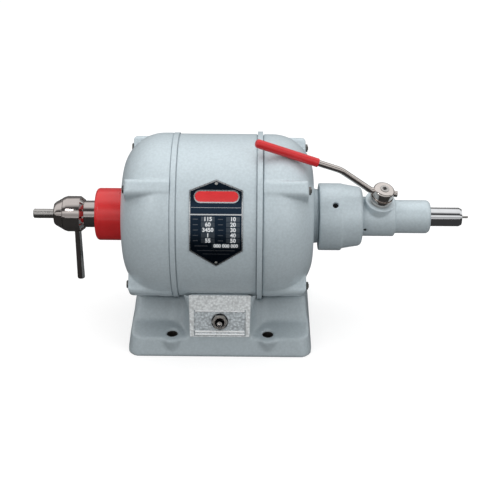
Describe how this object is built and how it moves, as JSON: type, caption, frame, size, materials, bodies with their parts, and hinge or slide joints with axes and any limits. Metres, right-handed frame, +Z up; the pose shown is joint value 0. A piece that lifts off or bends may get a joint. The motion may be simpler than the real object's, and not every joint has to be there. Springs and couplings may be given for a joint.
{
  "type": "dental polishing lathe",
  "caption": "Bench polishing motor on a cast stand, with a chuck and mandrel on the left and a lever-released collet spindle on the right",
  "frame": {"origin": "centre of the bench bolt pattern, on the face that rests on the bench", "axes": "+X along the shaft from chuck to collet, +Y away from the operator, +Z up"},
  "size_m": [0.4429, 0.1702, 0.2185],
  "materials": {
    "hammertone_paint": "hammertone enamel, semi-gloss, worn at edges",
    "red_guard": "smooth red enamel, semi-gloss",
    "red_vinyl": "dipped vinyl, smooth",
    "chrome": "polished chrome plate with fine wear",
    "plated_steel": "zinc plated steel",
    "bright_steel": "turned bright steel",
    "black_steel": "black oxide",
    "nameplate_metal": "dark blue printed anodised aluminium",
    "switch_plate_metal": "pressed aluminium, finely textured",
    "lamination_steel": "varnished laminations",
    "copper_winding": "enamelled copper wire",
    "cast_aluminium": "die cast",
    "black_phenolic": "moulded phenolic",
    "brass_contact": "bare brass",
    "black_rubber": "matte rubber"
  },
  "bodies": {
    "frame": {"base_casting": "hammertone_paint", "bottom_cover": "plated_steel", "bottom_cover_screws": "plated_steel", "saddle_bolts": "plated_steel", "cord_bush": "black_rubber", "switch_plate": "switch_plate_metal", "switch_body": "black_phenolic", "switch_terminals": "brass_contact", "switch_washer": "plated_steel", "switch_nut": "black_steel", "motor_shell": "hammertone_paint", "left_end_bell": "hammertone_paint", "right_end_bell": "hammertone_paint", "stator_core": "lamination_steel", "stator_winding": "copper_winding", "through_bolts": "plated_steel", "through_bolt_nuts": "plated_steel", "nameplate": "nameplate_metal", "nameplate_rivets": "plated_steel", "bearing_outer_rings": "bright_steel", "bearing_spring_washer": "bright_steel", "start_switch_plate": "black_phenolic", "guard_collar": "red_guard", "guard_collar_screw": "black_steel", "adaptor_housing": "hammertone_paint", "adaptor_screws": "black_steel", "nose_housing": "hammertone_paint", "nose_screws": "black_steel"},
    "rotor": {"motor_shaft": "bright_steel", "rotor_core": "lamination_steel", "rotor_cage": "cast_aluminium", "bearing_inner_rings": "bright_steel", "governor": "plated_steel", "chuck_body": "chrome", "spindle": "bright_steel", "spindle_nose": "chrome", "disc_springs": "bright_steel"},
    "left_cage": {"left_ball_cage": "bright_steel"},
    "right_cage": {"right_ball_cage": "bright_steel"},
    "nose_cage": {"nose_ball_cage": "bright_steel"},
    "start_collar": {"switch_collar": "black_phenolic"},
    "sleeve": {"chuck_sleeve": "chrome"},
    "jaw_1": {"chuck_jaw_1": "bright_steel"},
    "jaw_2": {"chuck_jaw_2": "bright_steel"},
    "jaw_3": {"chuck_jaw_3": "bright_steel"},
    "arbor": {"mandrel": "bright_steel"},
    "pin": {"tommy_pin": "chrome"},
    "collet_rod": {"drawbar": "bright_steel", "drawbar_nut": "bright_steel", "collet": "bright_steel", "release_ring": "bright_steel", "release_pin": "bright_steel"},
    "bur": {"bur_shank": "bright_steel"},
    "thrust": {"thrust_sleeve": "bright_steel"},
    "lever": {"lever_post": "chrome", "lever_set_screw": "black_steel", "lever_rod": "chrome", "lever_grip": "red_vinyl"},
    "toggle": {"switch_toggle": "chrome"}
  },
  "joints": [
    {"name": "rotor_spin", "type": "hinge", "parent": "frame", "child": "rotor", "pos_m": [0, 0, 0.122], "axis": [1, 0, 0], "continuous": true},
    {"name": "left_cage_roll", "type": "hinge", "parent": "frame", "child": "left_cage", "pos_m": [0, 0, 0.122], "axis": [1, 0, 0], "continuous": true},
    {"name": "right_cage_roll", "type": "hinge", "parent": "frame", "child": "right_cage", "pos_m": [0, 0, 0.122], "axis": [1, 0, 0], "continuous": true},
    {"name": "nose_cage_roll", "type": "hinge", "parent": "frame", "child": "nose_cage", "pos_m": [0, 0, 0.122], "axis": [1, 0, 0], "continuous": true},
    {"name": "start_collar_slide", "type": "slide", "parent": "rotor", "child": "start_collar", "axis": [1, 0, 0], "range_m": [0, 0.003], "stiffness_N_per_m": 300},
    {"name": "sleeve_turn", "type": "hinge", "parent": "rotor", "child": "sleeve", "pos_m": [0, 0, 0.122], "axis": [1, 0, 0], "range_deg": [0, 720]},
    {"name": "jaw_1_slide", "type": "slide", "parent": "rotor", "child": "jaw_1", "axis": [0.9903, 0, 0.1392], "range_m": [0, 0.006]},
    {"name": "jaw_2_slide", "type": "slide", "parent": "rotor", "child": "jaw_2", "axis": [0.9903, -0.1205, -0.0696], "range_m": [0, 0.006]},
    {"name": "jaw_3_slide", "type": "slide", "parent": "rotor", "child": "jaw_3", "axis": [0.9903, 0.1205, -0.0696], "range_m": [0, 0.006]},
    {"name": "arbor_pull", "type": "slide", "parent": "rotor", "child": "arbor", "axis": [-1, 0, 0], "range_m": [0, 0.018]},
    {"name": "tommy_pin_pull", "type": "slide", "parent": "sleeve", "child": "pin", "axis": [0, 0, -1], "range_m": [0, 0.004]},
    {"name": "lever_swing", "type": "hinge", "parent": "frame", "child": "lever", "pos_m": [0.1559, 0, 0.122], "axis": [-0.1908, 0.3196, -0.9281], "range_deg": [0, 40]},
    {"name": "thrust_slide", "type": "slide", "parent": "frame", "child": "thrust", "axis": [1, 0, 0], "range_m": [0, 0.0008]},
    {"name": "collet_slide", "type": "slide", "parent": "rotor", "child": "collet_rod", "axis": [1, 0, 0], "range_m": [0, 0.0008], "deforming": ["disc_springs"]},
    {"name": "bur_pull", "type": "slide", "parent": "collet_rod", "child": "bur", "axis": [1, 0, 0], "range_m": [0, 0.013]},
    {"name": "toggle_tilt", "type": "hinge", "parent": "frame", "child": "toggle", "pos_m": [0, -0.06117, 0.0337], "axis": [1, 0, 0], "range_deg": [-12, 12]}
  ],
  "couplings": [
    {"joint": "left_cage_roll", "follows": "rotor_spin", "ratio": 0.38175},
    {"joint": "right_cage_roll", "follows": "rotor_spin", "ratio": 0.38175},
    {"joint": "nose_cage_roll", "follows": "rotor_spin", "ratio": 0.40698},
    {"joint": "jaw_1_slide", "follows": "sleeve_turn", "m_per_rad": 0.00047746},
    {"joint": "jaw_2_slide", "follows": "sleeve_turn", "m_per_rad": 0.00047746},
    {"joint": "jaw_3_slide", "follows": "sleeve_turn", "m_per_rad": 0.00047746},
    {"joint": "thrust_slide", "follows": "lever_swing", "m_per_rad": 0.0011459},
    {"joint": "collet_slide", "follows": "lever_swing", "m_per_rad": 0.0011459}
  ]
}
